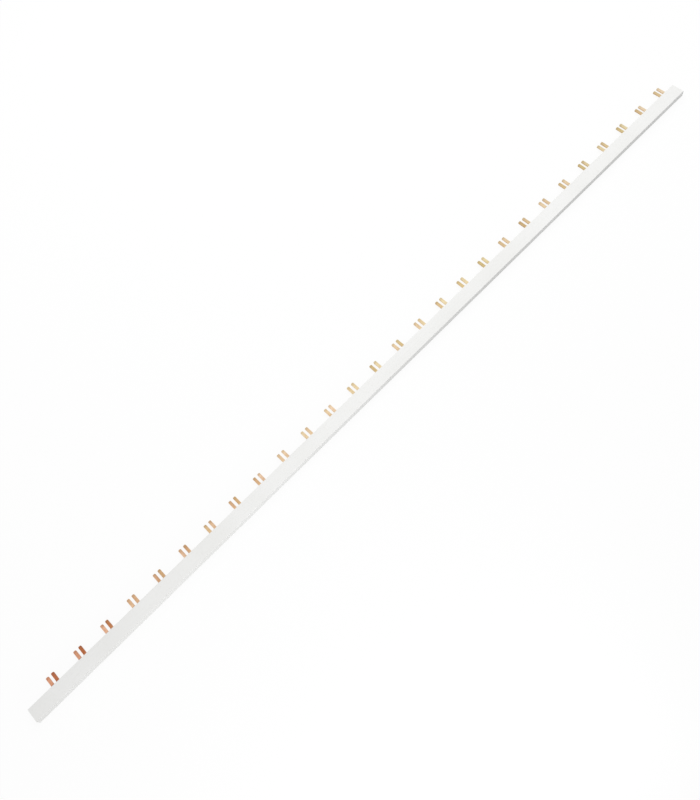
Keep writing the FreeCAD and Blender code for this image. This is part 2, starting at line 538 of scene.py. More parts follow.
comb_outline = closed_loop(comb_tree, row_of_points(comb_tree, corner_count, corner_place))
comb_outline = round_corners(comb_tree, comb_outline, corner_radius, size["Corner steps"])
comb_outline = add_node(
    comb_tree, "GeometryNodeReverseCurve", {"Curve": comb_outline}
).outputs["Curve"]
comb_sheet = slab_of(comb_tree, comb_outline, size["Copper"], size["Soft edge"])
end_tree(comb_tree, comb_out, comb_sheet, size["Middle Z"], (0.0, 0.0, 0.0), size["Material"])

# %% [markdown]
# The profile is the same idea seen from the end. Its outline is the section of the bar, and
# its thickness is the bar's whole length. The section is an outer wall, a cavity that opens
# to one edge through a narrow mouth, two low ribs that seat the comb's foot and two tapered
# ribs that hold it upright. Plastic that is pushed through a die keeps one section all along,
# so every wall and rib is told by a few numbers.

# %% Sizes of the profile's section
WALL = 1.2 * MM
LIP = 1.4 * MM
MOUTH_PLAY = 0.3 * MM
MOUTH_HALF = COPPER / 2 + MOUTH_PLAY
MOUTH_FLARE = 0.35 * MM
GROOVE_PLAY = 0.1 * MM
GROOVE_HALF = COPPER / 2 + GROOVE_PLAY
SEAT_RIB_HEIGHT = 1.8 * MM
SEAT_RIB_WIDTH = 0.8 * MM
GUIDE_RIB_BASE = 1.8 * MM
GUIDE_RIB_NOSE = 0.8 * MM
GUIDE_RIB_BELOW_TOP = 1.6 * MM
GUIDE_RIB_Y = STRIP_TOP_Y - GUIDE_RIB_BELOW_TOP

OUTSIDE_RADIUS = 0.5 * MM
CAVITY_RADIUS = 0.5 * MM
LIP_RADIUS = 0.12 * MM
RIB_RADIUS = 0.1 * MM
print(f"mouth {2 * MOUTH_HALF / MM:.2f} mm wide, groove {2 * GROOVE_HALF / MM:.2f} mm wide")

# %% [markdown]
# The section is one loop, because the mouth joins the outside to the cavity. Its two halves
# mirror each other, so half of it is written down, point by point with the radius of each
# corner, and the other half is the same list turned over. It starts at the outside of the
# closed edge, follows the outer wall to the open edge, goes in through the mouth, and comes
# back along the inner wall, over the tapered guide rib and the low seat rib, to the groove in
# which the comb's foot stands.

# %% Half of the section, as (y, z, radius of the corner)
half = PROFILE_THICKNESS / 2
inside_of_lip = OPEN_EDGE_Y - LIP
seat_top = STRIP_FOOT_Y + SEAT_RIB_HEIGHT
seat_slope = SEAT_RIB_WIDTH / 2
rib_depth = half - WALL / 2 - GROOVE_HALF
rib_spread = (GUIDE_RIB_BASE - GUIDE_RIB_NOSE) / 2
rib_at_wall = GUIDE_RIB_BASE / 2 - rib_spread * (WALL / 2) / rib_depth
half_section = [
    (CLOSED_EDGE_Y, -half, OUTSIDE_RADIUS),
    (OPEN_EDGE_Y, -half, OUTSIDE_RADIUS),
    (OPEN_EDGE_Y, -MOUTH_HALF - MOUTH_FLARE, LIP_RADIUS),
    (OPEN_EDGE_Y - MOUTH_FLARE, -MOUTH_HALF, LIP_RADIUS),
    (inside_of_lip, -MOUTH_HALF, LIP_RADIUS),
    (inside_of_lip, -half + WALL, CAVITY_RADIUS),
    (GUIDE_RIB_Y + rib_at_wall, -half + WALL, RIB_RADIUS),
    (GUIDE_RIB_Y + GUIDE_RIB_NOSE / 2, -GROOVE_HALF, RIB_RADIUS),
    (GUIDE_RIB_Y - GUIDE_RIB_NOSE / 2, -GROOVE_HALF, RIB_RADIUS),
    (GUIDE_RIB_Y - rib_at_wall, -half + WALL, RIB_RADIUS),
    (STRIP_FOOT_Y, -half + WALL, CAVITY_RADIUS),
    (STRIP_FOOT_Y, -GROOVE_HALF - SEAT_RIB_WIDTH, RIB_RADIUS),
    (seat_top, -GROOVE_HALF - SEAT_RIB_WIDTH, RIB_RADIUS),
    (seat_top, -GROOVE_HALF - seat_slope, RIB_RADIUS),
    (seat_top - seat_slope, -GROOVE_HALF, RIB_RADIUS),
    (STRIP_FOOT_Y, -GROOVE_HALF, RIB_RADIUS),
]
section_points = half_section + [(y, -z, radius) for y, z, radius in reversed(half_section)]
print("section:", len(section_points), "corners")

# %% [markdown]
# The comb's corners follow a rule, and the section's don't. So many sizes would be clumsy as
# inputs of a tree. The section goes in as a mesh instead, a ring of edges without a face, and
# each of its points carries its own radius in an attribute.

# %% The section as a loop of edges that carries its radii
section_mesh = bpy.data.meshes.new("profile_section")
loop_edges = [(i, (i + 1) % len(section_points)) for i in range(len(section_points))]
section_mesh.from_pydata([(y, z, 0.0) for y, z, radius in section_points], loop_edges, [])
radii = section_mesh.attributes.new("corner_radius", "FLOAT", "POINT")
radii.data.foreach_set("value", [radius for y, z, radius in section_points])
print("section mesh:", len(section_mesh.vertices), "points,", len(section_mesh.edges), "edges")

# %% [markdown]
# The profile's tree rounds the loop's corners, hands it to the slab group with the bar's
# length as the thickness, and then lies the result down: a turn of 90 degrees about X and
# then about Z brings the section upright and points its length along X.

# %% The profile's tree
profile_tree, profile_in, profile_out = new_tree(
    "drawn_profile",
    "GeometryNodeTree",
    [
        ("Section", "NodeSocketGeometry", None),
        ("Length", "NodeSocketFloat", 0.0),
        ("Middle Z", "NodeSocketFloat", 0.0),
        ("Corner steps", "NodeSocketInt", CORNER_STEPS),
        ("Sawn edge", "NodeSocketFloat", 0.0),
        ("Material", "NodeSocketMaterial", None),
    ],
    [("Geometry", "NodeSocketGeometry")],
)
QUARTER_TURN = math.pi / 2
LYING = (QUARTER_TURN, 0.0, QUARTER_TURN)
bar = profile_in.outputs
section = add_node(
    profile_tree, "GeometryNodeMeshToCurve", {"Mesh": bar["Section"]}
).outputs["Curve"]
section_radius = add_node(
    profile_tree, "GeometryNodeInputNamedAttribute", {"Name": "corner_radius"}, data_type="FLOAT"
).outputs["Attribute"]
section = round_corners(profile_tree, section, section_radius, bar["Corner steps"])
bar_slab = slab_of(profile_tree, section, bar["Length"], bar["Sawn edge"])
end_tree(profile_tree, profile_out, bar_slab, bar["Middle Z"], LYING, bar["Material"])

# %% [markdown]
# Colours are easier to judge as they look on a screen, from 0 to 255. A shader wants them
# linear, so `shown` turns one into the other by the curve that all screens share. With the
# lamps at a plain level a surface then looks about as it is written here.

# %% Colours as a screen shows them
def shown(red, green, blue):
    def linear(value):
        share = value / 255
        if share <= 0.04045:
            return share / 12.92
        return ((share + 0.055) / 1.055) ** 2.4
    return (linear(red), linear(green), linear(blue), 1.0)


print("mid grey:", [round(value, 3) for value in shown(128, 128, 128)])

# %% [markdown]
# Two effects belong to both finishes, so each is a shader node group. The first is fine lines
# along the bar: the die leaves them on the plastic and the rolls leave them on the copper
# sheet. It is noise that is squeezed across the bar and stretched along it. It reads Object
# coordinates, so it stays on the piece from any side.

# %% A group for lines drawn along the bar
lines, lines_in, lines_out = new_tree(
    "drawn_lines",
    "ShaderNodeTree",
    [
        ("Vector", "NodeSocketVector", None),
        ("Lines per metre", "NodeSocketFloat", 1500.0),
        ("Breaks per metre", "NodeSocketFloat", 20.0),
    ],
    [("Height", "NodeSocketFloat")],
)
across = lines_in.outputs["Lines per metre"]
squeezed = add_node(
    lines,
    "ShaderNodeVectorMath",
    {
        0: lines_in.outputs["Vector"],
        1: point(lines, lines_in.outputs["Breaks per metre"], across, across),
    },
    operation="MULTIPLY",
)
line_noise = add_node(
    lines,
    "ShaderNodeTexNoise",
    {"Vector": squeezed.outputs["Vector"], "Scale": 1.0, "Detail": 3.0, "Roughness": 0.6},
)
lines.links.new(line_noise.outputs["Fac"], lines_out.inputs["Height"])
print("line group's sockets:", [item.name for item in lines.interface.items_tree])

# %% [markdown]
# The second is soft patches: uneven pigment in the plastic, tarnish on the copper. A Map
# Range with a smooth step keeps only part of a noise, so patches have soft rims and leave
# calm areas between them.

# %% A group for soft patches
patches, patches_in, patches_out = new_tree(
    "soft_patches",
    "ShaderNodeTree",
    [
        ("Vector", "NodeSocketVector", None),
        ("Patches per metre", "NodeSocketFloat", 50.0),
        ("Start", "NodeSocketFloat", 0.35),
        ("Full", "NodeSocketFloat", 0.65),
    ],
    [("Mask", "NodeSocketFloat")],
)
patch_noise = add_node(
    patches,
    "ShaderNodeTexNoise",
    {
        "Vector": patches_in.outputs["Vector"],
        "Scale": patches_in.outputs["Patches per metre"],
        "Detail": 4.0,
        "Roughness": 0.55,
    },
)
patch_range = add_node(
    patches,
    "ShaderNodeMapRange",
    {
        "Value": patch_noise.outputs["Fac"],
        "From Min": patches_in.outputs["Start"],
        "From Max": patches_in.outputs["Full"],
    },
    interpolation_type="SMOOTHSTEP",
)
patches.links.new(patch_range.outputs["Result"], patches_out.inputs["Mask"])
print("patch group's sockets:", [item.name for item in patches.interface.items_tree])

# %% [markdown]
# Every material starts alike: one Principled shader, and the piece's own Object coordinates as
# the place that patterns are read from. The groups are placed in it with their own values, and
# an attribute that the trees stored is read back by its name.

# %% Short ways to start a material and to place the groups in it
def new_material(name):
    material = bpy.data.materials.new(name)
    material.use_nodes = True
    tree = material.node_tree
    tree.nodes.clear()
    surface = tree.nodes.new("ShaderNodeBsdfPrincipled")
    output = tree.nodes.new("ShaderNodeOutputMaterial")
    tree.links.new(surface.outputs["BSDF"], output.inputs["Surface"])
    place = tree.nodes.new("ShaderNodeTexCoord").outputs["Object"]
    return material, tree, surface, place


def drawn_lines(tree, place, per_metre, breaks):
    inputs = {"Vector": place, "Lines per metre": per_metre, "Breaks per metre": breaks}
    return add_node(tree, "ShaderNodeGroup", inputs, node_tree=lines).outputs["Height"]


def soft_patches(tree, place, per_metre, start, full):
    inputs = {"Vector": place, "Patches per metre": per_metre, "Start": start, "Full": full}
    return add_node(tree, "ShaderNodeGroup", inputs, node_tree=patches).outputs["Mask"]


def attribute(tree, name):
    node = tree.nodes.new("ShaderNodeAttribute")
    node.attribute_name = name
    return node.outputs["Fac"]


print("shader groups:", lines.name, patches.name)

# %% [markdown]
# The masks then steer colours and numbers. `blend` mixes two colours by a mask, or tints the
# first with the second. `ramp` is a colour that changes along a scale. `ranged` turns part of
# a scale into a soft 0 to 1, and `between` turns 0 to 1 into a range of numbers. `times`
# weakens a mask, or lets one mask through another.

# %% Short ways to mix colours and masks
def blend(tree, factor, first, second, how="MIX"):
    node = tree.nodes.new("ShaderNodeMix")
    node.data_type = "RGBA"
    node.blend_type = how
    wire(tree, factor, node.inputs["Factor"])
    colours = [socket for socket in node.inputs if socket.type == "RGBA"]
    wire(tree, first, colours[0])
    wire(tree, second, colours[1])
    return [socket for socket in node.outputs if socket.type == "RGBA"][0]


def ramp(tree, factor, stops):
    """A colour that runs smoothly through the stops, each a share and a colour."""
    node = add_node(tree, "ShaderNodeValToRGB", {"Fac": factor})
    node.color_ramp.interpolation = "EASE"
    elements = node.color_ramp.elements
    while len(elements) < len(stops):
        elements.new(1.0)
    for element, (share, colour) in zip(elements, stops):
        element.position = share
        element.color = colour
    return node.outputs["Color"]


def ranged(tree, value, start, end):
    inputs = {"Value": value, "From Min": start, "From Max": end}
    node = add_node(tree, "ShaderNodeMapRange", inputs, interpolation_type="SMOOTHSTEP")
    return node.outputs["Result"]


def between(tree, factor, low, high):
    inputs = {"Value": factor, "To Min": low, "To Max": high}
    return add_node(tree, "ShaderNodeMapRange", inputs).outputs["Result"]


def times(tree, first, second):
    return math_node(tree, "MULTIPLY", first, second)


print("blend, ramp, ranged, between and times are ready")

# %% [markdown]
# The plastic is a pale, nearly neutral white with a soft shine. One flat colour would look
# like card. Real extrusions are never quite even: the pigment drifts a little, fine flecks
# show in it, and the die leaves faint lines. All of that stays within a few shades of the same
# white.

# %% White plastic
PIGMENT = shown(241, 241, 240)
DRIFTED_PIGMENT = shown(236, 236, 234)
FLECK = shown(226, 226, 222)
FLECK_SHARE = 0.35
DIE_LINE = shown(229, 229, 227)
DIE_LINE_START = 0.48
DIE_LINE_FULL = 0.72
DIE_LINE_SHARE = 0.3

white, tree, surface, place = new_material("white_plastic")
drift = soft_patches(tree, place, per_metre=9.0, start=0.3, full=0.7)
flecks = soft_patches(tree, place, per_metre=420.0, start=0.5, full=0.8)
die_lines = drawn_lines(tree, place, per_metre=1300.0, breaks=6.0)
pigment = blend(tree, drift, PIGMENT, DRIFTED_PIGMENT)
pigment = blend(tree, times(tree, flecks, FLECK_SHARE), pigment, FLECK)
line_shade = ranged(tree, die_lines, DIE_LINE_START, DIE_LINE_FULL)
pigment = blend(tree, times(tree, line_shade, DIE_LINE_SHARE), pigment, DIE_LINE)
print("the skin's colour:", len(tree.nodes), "nodes")

# %% [markdown]
# The ends are sawn across, and `slab_face` says where they are. The saw leaves fine marks side
# by side across the cut. They could be cut into the mesh, but they are only hundredths of a
# millimetre deep. They are noise again, squeezed along Y and stretched along Z, and they show
# in the colour as well as in the relief, because the cut plastic is a little paler where a
# tooth has torn it.

# %% The sawn ends
SAW_LEAN = 0.12
SAW_SQUEEZE = (400.0, 6200.0, 420.0)
SAW_MARK_START = 0.36
SAW_MARK_FULL = 0.64
TORN_PALE = shown(243, 242, 239)
CUT_GREY = shown(233, 232, 228)
SAWN_SHARE = 0.8

sawn = attribute(tree, "slab_face")
saw_place = add_node(
    tree,
    "ShaderNodeMapping",
    {"Vector": place, "Rotation": (SAW_LEAN, 0.0, 0.0), "Scale": SAW_SQUEEZE},
).outputs["Vector"]
saw_marks = add_node(
    tree, "ShaderNodeTexNoise", {"Vector": saw_place, "Scale": 1.0, "Detail": 3.0}
).outputs["Fac"]
saw_shade = ranged(tree, saw_marks, SAW_MARK_START, SAW_MARK_FULL)
cut_colour = blend(tree, saw_shade, TORN_PALE, CUT_GREY)
pigment = blend(tree, times(tree, sawn, SAWN_SHARE), pigment, cut_colour)
wire(tree, pigment, surface.inputs["Base Color"])
print("the colour with its sawn ends:", len(tree.nodes), "nodes")

# %% [markdown]
# The skin has a soft shine that is duller along the lines where the die dragged, and the sawn
# ends are duller still. Relief as fine as this doesn't change the bar's outline, so a Bump
# node makes it and the mesh stays light. Its height adds up the die lines, a fine grain and
# the saw's marks, and its distance is only a few thousandths of a millimetre.

# %% Its shine and its fine relief
SMOOTH_SKIN = 0.40
DRAGGED_SKIN = 0.56
SAWN_DULLNESS = 0.72
GRAINS_PER_METRE = 5200.0
GRAIN_HEIGHT = 0.25
SAW_MARK_HEIGHT = 5.0
SKIN_DEPTH = 0.008 * MM
PLASTIC_IOR = 1.53

shine = between(tree, die_lines, SMOOTH_SKIN, DRAGGED_SKIN)
shine = math_node(tree, "MAXIMUM", shine, times(tree, sawn, SAWN_DULLNESS))
wire(tree, shine, surface.inputs["Roughness"])
grain = add_node(
    tree, "ShaderNodeTexNoise", {"Vector": place, "Scale": GRAINS_PER_METRE, "Detail": 2.0}
).outputs["Fac"]
relief = math_node(tree, "ADD", times(tree, grain, GRAIN_HEIGHT), die_lines)
saw_relief = times(tree, times(tree, saw_marks, sawn), SAW_MARK_HEIGHT)
relief = math_node(tree, "ADD", relief, saw_relief)
bump = add_node(
    tree, "ShaderNodeBump", {"Height": relief, "Strength": 1.0, "Distance": SKIN_DEPTH}
)
wire(tree, bump.outputs["Normal"], surface.inputs["Normal"])
surface.inputs["IOR"].default_value = PLASTIC_IOR
print("white plastic:", len(tree.nodes), "nodes")

# %% [markdown]
# The copper is bare. Two things change its colour on the large scale: a painted reflection
# along the bar, palest in the middle and darker and redder towards the near end, and no two
# prongs catch the light quite alike. Each prong could have a material of its own, but the comb
# is one stamping. So the material works out from X which prong it is on: the nearest fork, and
# which side of that fork's middle the point is on.

# %% A number for each prong
copper, tree, surface, place = new_material("bare_copper")
along = add_node(tree, "ShaderNodeSeparateXYZ", {"Vector": place})
from_first = math_node(tree, "SUBTRACT", along.outputs["X"], FIRST_FORK_X)
fork_number = math_node(tree, "ROUND", math_node(tree, "DIVIDE", from_first, FORK_PITCH))
from_middle = math_node(tree, "SUBTRACT", from_first, times(tree, fork_number, FORK_PITCH))
side = math_node(tree, "GREATER_THAN", from_middle, 0.0)
prong_number = math_node(tree, "ADD", times(tree, fork_number, 2.0), side)
print("prongs are numbered from 0 to", 2 * FORK_COUNT - 1)

# %% [markdown]
# White noise gives each number its own tone, from a fixed seed, so it is the same each time.
# Towards the slot's root every tone fades to the middle one, so that there is no step in the
# strip where one prong's ground ends and the next one's begins.

# %% A tone for each prong
TONE_SEED = 61300.0
TONE_START = 0.15
TONE_FULL = 0.85
MIDDLE_TONE = 0.5
TONE_FADE = 2.0 * MM


def for_each_prong(seed):
    numbered = math_node(tree, "ADD", prong_number, seed)
    noise = add_node(
        tree, "ShaderNodeTexWhiteNoise", {"W": numbered}, noise_dimensions="1D"
    )
    return noise.outputs["Value"]


above_root = ranged(tree, along.outputs["Y"], SLOT_ROOT_Y, SLOT_ROOT_Y + TONE_FADE)
tone = ranged(tree, for_each_prong(TONE_SEED), TONE_START, TONE_FULL)
tone = times(tree, math_node(tree, "SUBTRACT", tone, MIDDLE_TONE), above_root)
tone = math_node(tree, "ADD", tone, MIDDLE_TONE)
print("the copper's tone:", len(tree.nodes), "nodes")

# %% [markdown]
# The copper's colour runs along the bar from a pale straw colour to a deep red-brown, as a
# painted reflection. A colour ramp along the bar carries that, one for the lightest prongs and
# one for the darkest, and the tone chooses between them. Its scale is 0 at the far end, where
# the painted reflection is a little dimmer. The middle of the bar has a painted highlight and is
# the palest, and the near end has a painted darker reflection and is the reddest.

# %% The colour of the painted reflection along the bar
DIM_REFLECTION_UNTIL = 0.27
PAINTED_HIGHLIGHT_FROM = 0.36
PAINTED_HIGHLIGHT_TO = 0.78
DARKEST_REFLECTION_AT = 0.97

# The share along the bar: 0 at the far end and 1 at the near end.
towards_near_end = math_node(tree, "SUBTRACT", STRIP_HALF_LENGTH, along.outputs["X"])
towards_near_end = math_node(tree, "DIVIDE", towards_near_end, 2 * STRIP_HALF_LENGTH)
# Painted reflection: palest in the middle of the bar, darker and redder at the near end.
light_copper = ramp(
    tree,
    towards_near_end,
    [
        (0.0, shown(236, 221, 188)),
        (DIM_REFLECTION_UNTIL, shown(234, 215, 175)),
        (PAINTED_HIGHLIGHT_FROM, shown(247, 230, 191)),
        (PAINTED_HIGHLIGHT_TO, shown(242, 214, 182)),
        (DARKEST_REFLECTION_AT, shown(233, 180, 146)),
    ],
)
dark_copper = ramp(
    tree,
    towards_near_end,
    [
        (0.0, shown(220, 199, 153)),
        (DIM_REFLECTION_UNTIL, shown(212, 188, 138)),
        (PAINTED_HIGHLIGHT_FROM, shown(224, 201, 150)),
        (PAINTED_HIGHLIGHT_TO, shown(218, 181, 137)),
        (DARKEST_REFLECTION_AT, shown(176, 80, 32)),
    ],
)
metal = blend(tree, tone, light_copper, dark_copper)
print(f"handled from X = {(1 - 2 * PAINTED_HIGHLIGHT_TO) * STRIP_HALF_LENGTH:.2f} m to the near end")

# %% [markdown]
# The tone says only how light or dark a prong is. Prongs differ in hue as well: some lean to
# pink and some to olive. A second noise with a seed of its own chooses that tint, so hue and
# tone don't go together. It multiplies the metal's colour and stays close to white.

# %% A tint for each prong
TINT_SEED = 400.0
TINT_START = 0.2
TINT_FULL = 0.8
LEANS_TO_PINK = shown(255, 249, 252)
LEANS_TO_OLIVE = shown(252, 254, 247)

tint = ranged(tree, for_each_prong(TINT_SEED), TINT_START, TINT_FULL)
tint_colour = blend(tree, tint, LEANS_TO_PINK, LEANS_TO_OLIVE)
metal = blend(tree, above_root, metal, tint_colour, "MULTIPLY")
print("the copper with its tints:", len(tree.nodes), "nodes")

# %% [markdown]
# The tips and the roots of the prongs are darkened by painted shade: shade where the prongs
# meet the profile, and a darker reflection at the tips. It could be painted on an image, but a
# rule on Y reaches all 56 prongs alike and is sharp from any distance. At the tips it is as
# strong all along the bar, and at the roots it grows towards the near end. It is khaki on the
# paler metal, and brown towards the near end.

# %% Painted shade at the tips and roots
TIP_SHADE_START = 4.5 * MM
TIP_SHADE_FULL = 0.5 * MM
TIP_SHADE_SHARE = 0.3
ROOT_SHADE_REACH = 2.6 * MM
FAR_ROOT_SHADE = 0.05
NEAR_ROOT_SHADE = 0.55
KHAKI_SHADE = shown(166, 148, 112)
BROWN_SHADE = shown(134, 80, 60)

height_on_prong = along.outputs["Y"]
tip_shade_mask = ranged(
    tree, height_on_prong, PRONG_TIP_Y - TIP_SHADE_START, PRONG_TIP_Y - TIP_SHADE_FULL
)
root_shade_mask = ranged(tree, height_on_prong, OPEN_EDGE_Y + ROOT_SHADE_REACH, OPEN_EDGE_Y)
# A mask that rises towards the near end, for the painted shade at the roots.
near_end_shade = ranged(tree, towards_near_end, PAINTED_HIGHLIGHT_TO, DARKEST_REFLECTION_AT)
root_shade_strength = between(tree, near_end_shade, FAR_ROOT_SHADE, NEAR_ROOT_SHADE)
# Painted shade: darker tips and roots, stronger at the roots towards the near end.
painted_shade = math_node(
    tree, "MAXIMUM", times(tree, tip_shade_mask, TIP_SHADE_SHARE), times(tree, root_shade_mask, root_shade_strength)
)
metal = blend(tree, painted_shade, metal, blend(tree, near_end_shade, KHAKI_SHADE, BROWN_SHADE))
# The stains counted here are painted shade at the tips and roots.
print("the copper with its stains:", len(tree.nodes), "nodes")

# %% [markdown]
# On the small scale the broad faces have tarnished in patches. One noise would look like
# clouds, so there are two sizes: large patches, and a fine bloom between them. Both grow
# towards the near end. The fine lines that the rolls left catch a little more light.

# %% Tarnish, bloom and rolling lines
TARNISH = shown(204, 180, 154)
TARNISH_FAR_END = 0.12
TARNISH_NEAR_END = 0.5
BLOOM = shown(186, 152, 128)
BLOOM_FAR_END = 0.10
BLOOM_NEAR_END = 0.34
ROLLED_START = 0.42
ROLLED_FULL = 0.68
ROLLED_SHARE = 0.07

tarnish = soft_patches(tree, place, per_metre=110.0, start=0.36, full=0.66)
bloom = soft_patches(tree, place, per_metre=620.0, start=0.48, full=0.74)
rolled = drawn_lines(tree, place, per_metre=9000.0, breaks=90.0)
# The tarnish and the bloom grow towards the near end.
tarnished = times(tree, tarnish, between(tree, towards_near_end, TARNISH_FAR_END, TARNISH_NEAR_END))
metal = blend(tree, tarnished, metal, TARNISH, "MULTIPLY")
bloomed = times(tree, bloom, between(tree, towards_near_end, BLOOM_FAR_END, BLOOM_NEAR_END))
metal = blend(tree, bloomed, metal, BLOOM, "MULTIPLY")
rolled_shine = times(tree, ranged(tree, rolled, ROLLED_START, ROLLED_FULL), ROLLED_SHARE)
metal = blend(tree, rolled_shine, metal, light_copper)
print("the copper with its tarnish:", len(tree.nodes), "nodes")

# %% [markdown]
# The sides were sheared by the punch. They are a little darker than the faces, because torn
# metal scatters the light, but their rounded edges are rubbed bright. A second material would
# end in a hard line there. The two attributes of the slab group say where both are, so one
# material runs smoothly over all of it.

# %% Sheared sides and bright edges
SHEARED = shown(230, 206, 184)
SHEARED_SHARE = 0.5
BRIGHT_EDGE_SHARE = 0.7

broad_face = attribute(tree, "slab_face")
edge = attribute(tree, "soft_edge")
sheared = math_node(tree, "SUBTRACT", 1.0, broad_face)
metal = blend(tree, times(tree, sheared, SHEARED_SHARE), metal, SHEARED, "MULTIPLY")
metal = blend(tree, times(tree, edge, BRIGHT_EDGE_SHARE), metal, light_copper)
wire(tree, metal, surface.inputs["Base Color"])
print("the copper's whole colour:", len(tree.nodes), "nodes")

# %% [markdown]
# Tarnish makes the metal duller, and so do the rolling lines and the shear. The relief has two
# parts: the lines of the rolls on the broad faces, and short marks of the punch across the
# sheet's thickness on the sides. Its depth is far below what the eye can see as a shape.

# %% Its shine and its marks
CLEAN_DULLNESS = 0.24
TARNISHED_DULLNESS = 0.42
ROLLED_DULLNESS = 0.06
SHEARED_DULLNESS = 0.08
SHEAR_SQUEEZE = (5200.0, 5200.0, 300.0)
SHEAR_MARK_HEIGHT = 2.5
COPPER_RELIEF = 0.0025 * MM

dullness = between(tree, tarnish, CLEAN_DULLNESS, TARNISHED_DULLNESS)
dullness = math_node(tree, "ADD", dullness, times(tree, rolled, ROLLED_DULLNESS))
dullness = math_node(tree, "ADD", dullness, times(tree, sheared, SHEARED_DULLNESS))
wire(tree, dullness, surface.inputs["Roughness"])
shear_place = add_node(
    tree, "ShaderNodeMapping", {"Vector": place, "Scale": SHEAR_SQUEEZE}
).outputs["Vector"]
shear_marks = add_node(
    tree, "ShaderNodeTexNoise", {"Vector": shear_place, "Scale": 1.0}
).outputs["Fac"]
shear_relief = times(tree, times(tree, shear_marks, sheared), SHEAR_MARK_HEIGHT)
metal_relief = math_node(tree, "ADD", shear_relief, times(tree, rolled, broad_face))
metal_bump = add_node(
    tree,
    "ShaderNodeBump",
    {"Height": metal_relief, "Strength": 1.0, "Distance": COPPER_RELIEF},
)
wire(tree, metal_bump.outputs["Normal"], surface.inputs["Normal"])
surface.inputs["Metallic"].default_value = 1.0
print("bare copper:", len(tree.nodes), "nodes")

# %% [markdown]
# Now both trees are run. Each result is a closed mesh, checked for open edges and measured,
# and it stands for its CAD node: it rides on the root body, and the node itself is hidden. Of
# the attributes, only those that a material or the mesh itself needs are kept.

# %% Make a finished piece of a mesh
KEPT_ATTRIBUTES = ("position", "slab_face", "soft_edge", "material_index", "sharp_face")


def stand_for(node, mesh):
    for name in [item.name for item in mesh.attributes]:
        if not name.startswith(".") and name not in KEPT_ATTRIBUTES:
            mesh.attributes.remove(mesh.attributes[name])
    piece = bpy.data.objects.new(mesh.name, mesh)
    bpy.context.scene.collection.objects.link(piece)
    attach(piece, "root")
    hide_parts(node)
    print(f"{piece.name} stands for {node}")


print("kept attributes:", KEPT_ATTRIBUTES)

# %% [markdown]
# The comb's tree makes all of its points itself, so it starts from an empty mesh. The tips are
# well rounded, to slip into a terminal, and the necks are wider still, because a sharp inner
# corner is where a stamped prong would crack. The edges are softened by the roll of the shear.

# %% The copper comb
TIP_RADIUS = 1.0 * MM
NECK_RADIUS = 1.5 * MM
STRIP_CORNER_RADIUS = 0.3 * MM
SHEARED_EDGE = 0.12 * MM

comb_mesh = grow(
    "stamped_comb",
    bpy.data.meshes.new("nothing"),
    comb_tree,
    {
        "Forks": FORK_COUNT,
        "Fork pitch": FORK_PITCH,
        "First fork X": FIRST_FORK_X,
        "Fork width": 2 * PRONG_WIDTH + SLOT_WIDTH,
        "Slot width": SLOT_WIDTH,
        "Strip half length": STRIP_HALF_LENGTH,
        "Strip foot Y": STRIP_FOOT_Y,
        "Strip top Y": STRIP_TOP_Y,
        "Slot root Y": SLOT_ROOT_Y,
        "Prong tip Y": PRONG_TIP_Y,
        "Tip radius": TIP_RADIUS,
        "Neck radius": NECK_RADIUS,
        "Strip corner radius": STRIP_CORNER_RADIUS,
        "Corner steps": CORNER_STEPS,
        "Copper": COPPER,
        "Middle Z": MIDDLE_Z,
        "Soft edge": SHEARED_EDGE,
        "Material": copper,
    },
)
finish_mesh(comb_mesh)
stand_for("copper_comb", comb_mesh)

# %% [markdown]
# The profile's tree starts from the ring of edges that was made above. Its length is the
# bar's, and the soft edge at its two ends is what is left after the saw's burr is wiped off.

# %% The insulating profile
SAWN_EDGE = 0.08 * MM

profile_mesh = grow(
    "white_profile",
    section_mesh,
    profile_tree,
    {
        "Length": BAR_LENGTH,
        "Middle Z": MIDDLE_Z,
        "Corner steps": CORNER_STEPS,
        "Sawn edge": SAWN_EDGE,
        "Material": white,
    },
)
finish_mesh(profile_mesh)
stand_for("insulating_profile", profile_mesh)

# %% [markdown]
# The bar lies on a plain pale floor. Under these lamps the floor's own colour would show as a
# pale grey, so Light Path mixes in plain white, where the floor is seen directly, in a
# reflection or through something clear. The world does the same.

# %% What the camera, reflections and clear things see
PLAIN_WHITE = (1.0, 1.0, 1.0, 1.0)


def seen_directly(tree):
    path = tree.nodes.new("ShaderNodeLightPath")
    seen = math_node(
        tree, "MAXIMUM", path.outputs["Is Camera Ray"], path.outputs["Is Glossy Ray"]
    )
    return math_node(tree, "MAXIMUM", seen, path.outputs["Is Transmission Ray"])


print("seen_directly is ready")

# %% [markdown]
# The floor is one large square, a hair under the bar so that their faces don't lie in one
# plane. A studio sheet would curve up behind the bar, but the camera looks down on it, so a
# flat one is enough.

# %% The floor
FLOOR_HALF = 8.0
FLOOR_Z = -0.02 * MM
FLOOR_CORNERS = ((-1, -1), (1, -1), (1, 1), (-1, 1))
floor_mesh = bpy.data.meshes.new("floor")
floor_mesh.from_pydata(
    [(x * FLOOR_HALF, y * FLOOR_HALF, FLOOR_Z) for x, y in FLOOR_CORNERS], [], [(0, 1, 2, 3)]
)
floor = bpy.data.objects.new("floor", floor_mesh)
bpy.context.scene.collection.objects.link(floor)
print("floor:", 2 * FLOOR_HALF, "m square")

# %% [markdown]
# The material mixes a dull pale surface with a plain white glow. The glow is there only for
# the camera, for reflections and for clear things, so it adds no soft light of its own. Near
# the bar a small share of the surface shows through, which keeps the bar's shadow, and that
# share fades out further away. For light that only bounces off it the surface is a little
# darker, so that it doesn't flood the closed edge.

# %% The floor's material
FLOOR_SHADE = shown(200, 200, 200)
FLOOR_SEEN = shown(248, 248, 248)
FLOOR_DULLNESS = 0.9
FLOOR_SPECULAR = 0.2
FLOOR_WHITE = 0.91
SHADOW_REACH = 0.7
SHADOW_GONE = 3 * SHADOW_REACH

